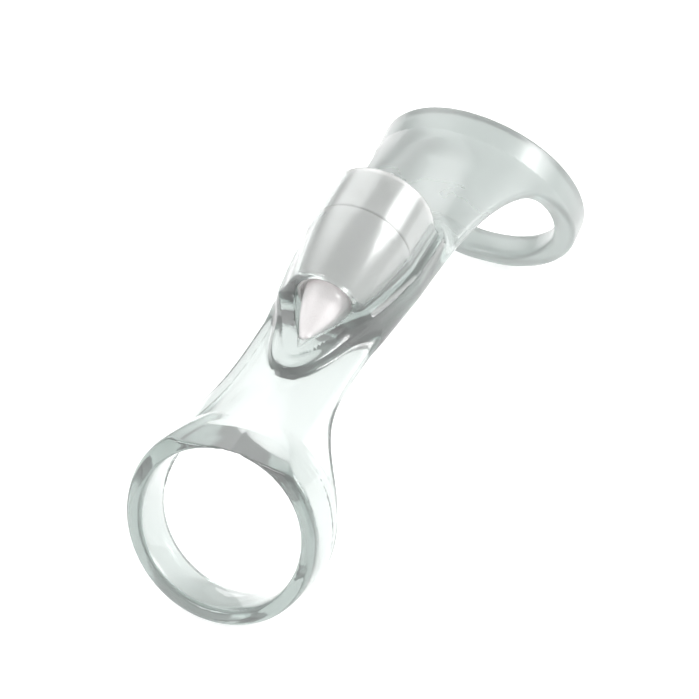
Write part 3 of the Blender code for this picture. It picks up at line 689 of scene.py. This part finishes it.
def quarter(start, end, steps, leaves_along_axis):
    """Points of a quarter ellipse from start to end, without the start itself."""
    points = []
    for step in range(1, steps + 1):
        turn = 0.5 * math.pi * step / steps
        early, late = math.sin(turn), 1.0 - math.cos(turn)
        along, out = (early, late) if leaves_along_axis else (late, early)
        points.append((mix(start[0], end[0], along), mix(start[1], end[1], out)))
    return points


def barrel_profile(bullet):
    """Ball tip, the nose's cone, a hollow round its foot, the barrel, the neck and the bore."""
    tip_end = (NOSE_TIP + NOSE_RADIUS, NOSE_RADIUS)
    points = [(NOSE_TIP, 0.0)] + quarter((NOSE_TIP, 0.0), tip_end, TIP_STEPS, False)
    for step in range(1, NOSE_STEPS + 1):
        share = step / NOSE_STEPS
        station = mix(tip_end[0], NOSE_BASE, share)
        bulge = NOSE_BULGE * math.sin(math.pi * share)
        points.append((station, mix(NOSE_RADIUS, NOSE_BASE_RADIUS, share) + bulge))
    inner_edge = (LIP + EDGE_ROUND, FOOT_RADIUS)
    front_edge = (LIP, (FOOT_RADIUS + LIP_RADIUS) / 2.0)
    points += [(NOSE_BASE, FOOT_RADIUS), inner_edge]
    points += quarter(inner_edge, front_edge, FOOT_STEPS, True)
    points += quarter(front_edge, (LIP + EDGE_ROUND, LIP_RADIUS), FOOT_STEPS, False)
    for step in range(1, BARREL_STEPS + 1):
        station = mix(LIP + EDGE_ROUND, TAPER_START, step / BARREL_STEPS)
        points.append((station, float(bullet.barrel_radius(station))))
    shoulder = SEAM - SEAM_GAP
    edge = (shoulder - EDGE_ROUND, SHELL_RADIUS)
    points += [edge] + quarter(edge, (shoulder, SHELL_RADIUS - EDGE_ROUND), SEAM_STEPS, True)
    return points + [
        (shoulder, NECK_RADIUS),
        (GROOVE_FRONT, NECK_RADIUS),
        (GROOVE_FRONT, GROOVE_RADIUS),
        (GROOVE_REAR, GROOVE_RADIUS),
        (GROOVE_REAR, NECK_RADIUS),
        (NECK_REAR, NECK_RADIUS),
        (NECK_REAR, BORE_RADIUS),
        (BORE_END, BORE_RADIUS),
        (BORE_END, MOTOR_BAY_RADIUS),
        (MOTOR_BAY_END, MOTOR_BAY_RADIUS),
        (MOTOR_BAY_END, WEIGHT_BAY_RADIUS),
        (WEIGHT_BAY_END, WEIGHT_BAY_RADIUS),
        (WEIGHT_BAY_END, 0.0),
    ]


def cap_profile():
    """The cap's outside with its rounded rear rim, the button's hole, the ledge and the bore."""
    front = (SEAM, SHELL_RADIUS - EDGE_ROUND)
    rim = (-CAP_ROUND, SHELL_RADIUS)
    points = [front] + quarter(front, (SEAM + EDGE_ROUND, SHELL_RADIUS), SEAM_STEPS, False)
    points += [rim] + quarter(rim, (0.0, SHELL_RADIUS - CAP_ROUND), RIM_STEPS, True)
    return points + [
        (0.0, BUTTON_HOLE),
        (-CAP_END_WALL, BUTTON_HOLE),
        (-CAP_END_WALL, CAP_LEDGE_RADIUS),
        (CAP_LEDGE, CAP_LEDGE_RADIUS),
        (CAP_LEDGE, CAP_BORE),
        (SEAM, CAP_BORE),
    ]


def button_profile():
    """A low dome on a flange, which keeps the button in its hole."""
    shoulder = (BUTTON_SHOULDER, BUTTON_RADIUS)
    return [
        (FLANGE_FRONT, 0.0),
        (FLANGE_FRONT, FLANGE_RADIUS),
        (FLANGE_REAR, FLANGE_RADIUS),
        (FLANGE_REAR, BUTTON_RADIUS),
        shoulder,
    ] + quarter(shoulder, (BUTTON_PROUD, 0.0), DOME_STEPS, True)


def make_shells(bullet, materials):
    profiles = {
        "bullet_barrel": ("bullet_body", "pearl_silver", barrel_profile(bullet)),
        "rear_cap": ("cap_body", "pearl_silver", cap_profile()),
        "push_button": ("button_body", "button_ivory", button_profile()),
    }
    for node, (body, slot, profile) in profiles.items():
        piece = turned("fine_" + node, profile, bullet)
        dress(piece, node, body, slot, materials)


def dress(piece, node, body, slot, materials):
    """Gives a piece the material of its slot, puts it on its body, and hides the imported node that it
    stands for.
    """
    piece.data.materials.append(materials[slot])
    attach(piece, body)
    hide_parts(node)


# --- materials ----------------------------------------------------------------------------------
def new_material(name, colour, roughness, metallic=0.0):
    material = bpy.data.materials.new(name)
    material.use_nodes = True
    tree = material.node_tree
    shader = tree.nodes["Principled BSDF"]
    shader.inputs["Base Color"].default_value = (*colour, 1.0)
    shader.inputs["Roughness"].default_value = roughness
    shader.inputs["Metallic"].default_value = metallic
    return material, tree, shader


def coat(shader, weight, roughness):
    shader.inputs["Coat Weight"].default_value = weight
    shader.inputs["Coat Roughness"].default_value = roughness


def noise(tree, size, detail=NOISE_DETAIL):
    """A noise value between 0 and 1 whose lumps are about size across."""
    coordinates = tree.nodes.new("ShaderNodeTexCoord")
    texture = tree.nodes.new("ShaderNodeTexNoise")
    texture.inputs["Scale"].default_value = 1.0 / size
    texture.inputs["Detail"].default_value = detail
    tree.links.new(coordinates.outputs["Object"], texture.inputs["Vector"])
    return texture.outputs["Fac"]


def spread(tree, value, low, high, start_end=NOISE_RANGE):
    """Maps a value from the range start_end onto the range low to high, easing at both ends."""
    ramp = tree.nodes.new("ShaderNodeMapRange")
    ramp.interpolation_type = "SMOOTHSTEP"
    ramp.inputs["From Min"].default_value = start_end[0]
    ramp.inputs["From Max"].default_value = start_end[1]
    ramp.inputs["To Min"].default_value = low
    ramp.inputs["To Max"].default_value = high
    tree.links.new(value, ramp.inputs["Value"])
    return ramp.outputs["Result"]


def add(tree, first, second):
    """The sum of a socket's value and either a plain number or another socket's value."""
    total = tree.nodes.new("ShaderNodeMath")
    tree.links.new(first, total.inputs[0])
    if isinstance(second, float):
        total.inputs[1].default_value = second
    else:
        tree.links.new(second, total.inputs[1])
    return total.outputs["Value"]


def tint(tree, shader, value, dark, light):
    """Makes the base colour go from dark to light as a value goes from 0 to 1."""
    blend = tree.nodes.new("ShaderNodeMix")
    blend.data_type = "RGBA"
    blend.inputs["A"].default_value = (*dark, 1.0)
    blend.inputs["B"].default_value = (*light, 1.0)
    tree.links.new(value, blend.inputs["Factor"])
    tree.links.new(blend.outputs["Result"], shader.inputs["Base Color"])


def roughen(tree, shader, value, depth):
    """Bumps the surface by a depth where the value goes from 0 to 1."""
    bump = tree.nodes.new("ShaderNodeBump")
    bump.inputs["Distance"].default_value = depth
    tree.links.new(value, bump.inputs["Height"])
    tree.links.new(bump.outputs["Normal"], shader.inputs["Normal"])


def clear_tpe():
    """A clear, faintly grey-green elastomer: glossy at the small ring and hazier at the hood."""
    material, tree, shader = new_material("clear_tpe", TPE_COLOUR, TPE_CLEAR_ROUGHNESS)
    shader.inputs["IOR"].default_value = TPE_IOR
    coat(shader, TPE_COAT, TPE_COAT_ROUGHNESS)
    coordinates = tree.nodes.new("ShaderNodeTexCoord")
    split = tree.nodes.new("ShaderNodeSeparateXYZ")
    tree.links.new(coordinates.outputs["Object"], split.inputs["Vector"])
    haze = spread(tree, split.outputs["X"], 0.0, 1.0, (HAZE_START, HAZE_END))
    tint(tree, shader, haze, TPE_COLOUR, TPE_HAZY_COLOUR)
    clarity = spread(tree, haze, TPE_TRANSMISSION, TPE_HAZY_TRANSMISSION, (0.0, 1.0))
    tree.links.new(clarity, shader.inputs["Transmission Weight"])
    gloss = spread(tree, haze, TPE_CLEAR_ROUGHNESS, TPE_HAZY_ROUGHNESS, (0.0, 1.0))
    patches = spread(tree, noise(tree, TPE_PATCH_SIZE), 0.0, TPE_PATCH_ROUGHNESS, TPE_PATCH_RANGE)
    tree.links.new(add(tree, gloss, patches), shader.inputs["Roughness"])
    roughen(tree, shader, noise(tree, TPE_RIPPLE_SIZE, TPE_RIPPLE_DETAIL), TPE_RIPPLE_DEPTH)
    darken_with_depth(tree, TPE_DEPTH_COLOUR, TPE_DENSITY)
    return material


def darken_with_depth(tree, colour, density):
    absorb = tree.nodes.new("ShaderNodeVolumeAbsorption")
    absorb.inputs["Color"].default_value = (*colour, 1.0)
    absorb.inputs["Density"].default_value = density
    output = next(node for node in tree.nodes if node.type == "OUTPUT_MATERIAL")
    tree.links.new(absorb.outputs["Volume"], output.inputs["Volume"])


def pearl_silver():
    """Pearl lacquer: a pale warm base with fine bright flakes under a satin coat."""
    material, tree, shader = new_material("pearl_silver", PEARL_LIGHT, PEARL_SATIN, PEARL_METALLIC)
    flakes = spread(tree, noise(tree, FLAKE_SIZE, FLAKE_DETAIL), 0.0, 1.0, FLAKE_RANGE)
    tint(tree, shader, flakes, PEARL_DARK, PEARL_LIGHT)
    clouds = spread(tree, noise(tree, CLOUD_SIZE), PEARL_GLOSS, PEARL_SATIN)
    tree.links.new(clouds, shader.inputs["Roughness"])
    roughen(tree, shader, noise(tree, PEEL_SIZE, PEEL_DETAIL), PEEL_DEPTH)
    coat(shader, PEARL_COAT, PEARL_COAT_ROUGHNESS)
    return material


def moulded(name, colour, roughness, metallic, grain, depth):
    """A plain material with grain-sized changes of shade, gloss and height."""
    material, tree, shader = new_material(name, colour, roughness, metallic)
    dark = [MOULDED_SHADE * part for part in colour]
    lumps = spread(tree, noise(tree, grain, MOULDED_DETAIL), 0.0, 1.0)
    tint(tree, shader, lumps, dark, colour)
    larger = noise(tree, MOULDED_LUMPS * grain)
    gloss = spread(tree, larger, roughness - MOULDED_GLOSS_SPREAD, roughness + MOULDED_GLOSS_SPREAD)
    tree.links.new(gloss, shader.inputs["Roughness"])
    roughen(tree, shader, lumps, depth)
    return material


def make_materials():
    materials = {name: moulded(name, *finish) for name, finish in MOULDED.items()}
    materials["clear_tpe"] = clear_tpe()
    materials["pearl_silver"] = pearl_silver()
    return materials


def dress_inner_nodes(frame, materials):
    """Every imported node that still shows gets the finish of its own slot."""
    for part in frame["record"]["subparts"]:
        if part["node"] not in REPLACED:
            mesh = frame["nodes"][part["node"]].data
            mesh.materials.clear()
            mesh.materials.append(materials[part["material_slot"]])


# --- the studio ---------------------------------------------------------------------------------
def make_camera():
    towards = Vector((
        math.sin(CAMERA_AZIMUTH) * math.cos(CAMERA_ELEVATION),
        -math.cos(CAMERA_AZIMUTH) * math.cos(CAMERA_ELEVATION),
        math.sin(CAMERA_ELEVATION),
    ))
    camera = bpy.data.objects.new("camera", bpy.data.cameras.new("camera"))
    camera.data.lens = LENS
    camera.data.sensor_width = SENSOR
    camera.data.clip_start = CAMERA_CLIP
    camera.location = CAMERA_AIM + towards * CAMERA_DISTANCE
    turn = towards.to_track_quat("Z", "Y")
    camera.rotation_mode = "QUATERNION"
    camera.rotation_quaternion = turn @ Matrix.Rotation(CAMERA_ROLL, 3, "Z").to_quaternion()
    bpy.context.scene.collection.objects.link(camera)
    bpy.context.scene.camera = camera


def make_floor():
    bm = bmesh.new()
    bmesh.ops.create_grid(bm, x_segments=1, y_segments=1, size=FLOOR_HALF_SIZE)
    mesh = bpy.data.meshes.new("floor")
    bm.to_mesh(mesh)
    bm.free()
    floor = place("floor", mesh)
    material, _, shader = new_material("light_table", FLOOR_COLOUR, FLOOR_ROUGHNESS)
    shader.inputs["Emission Color"].default_value = WHITE
    shader.inputs["Emission Strength"].default_value = FLOOR_GLOW
    mesh.materials.append(material)


def softbox(tree, towards, half_width, strength):
    """A round feathered patch of light in one direction of the room."""
    coordinates = tree.nodes.new("ShaderNodeTexCoord")
    facing = tree.nodes.new("ShaderNodeVectorMath")
    facing.operation = "DOT_PRODUCT"
    facing.inputs[1].default_value = Vector(towards).normalized()
    tree.links.new(coordinates.outputs["Generated"], facing.inputs[0])
    feather = (math.cos(FEATHER_OUT * half_width), math.cos(FEATHER_IN * half_width))
    return spread(tree, facing.outputs["Value"], 0.0, strength, feather)


def make_world():
    """An even white room with feathered softboxes."""
    world = bpy.data.worlds.new("studio")
    world.use_nodes = True
    tree = world.node_tree
    background = tree.nodes["Background"]
    background.inputs["Color"].default_value = WHITE
    total = ROOM_LIGHT
    for towards, half_width, strength in SOFTBOXES:
        total = add(tree, softbox(tree, towards, half_width, strength), total)
    tree.links.new(total, background.inputs["Strength"])
    bpy.context.scene.world = world


def main():
    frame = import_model()
    bullet = Bullet(frame)
    make_camera()
    make_floor()
    make_world()
    materials = make_materials()
    dress(make_sleeve(bullet), "sleeve", "sleeve_body", "clear_tpe", materials)
    make_shells(bullet, materials)
    dress_inner_nodes(frame, materials)
    scene = bpy.context.scene
    scene.view_settings.view_transform = "Standard"
    scene.view_settings.exposure = EXPOSURE
    scene.cycles.max_bounces = LIGHT_BOUNCES
    scene.cycles.transmission_bounces = CLEAR_BOUNCES


main()
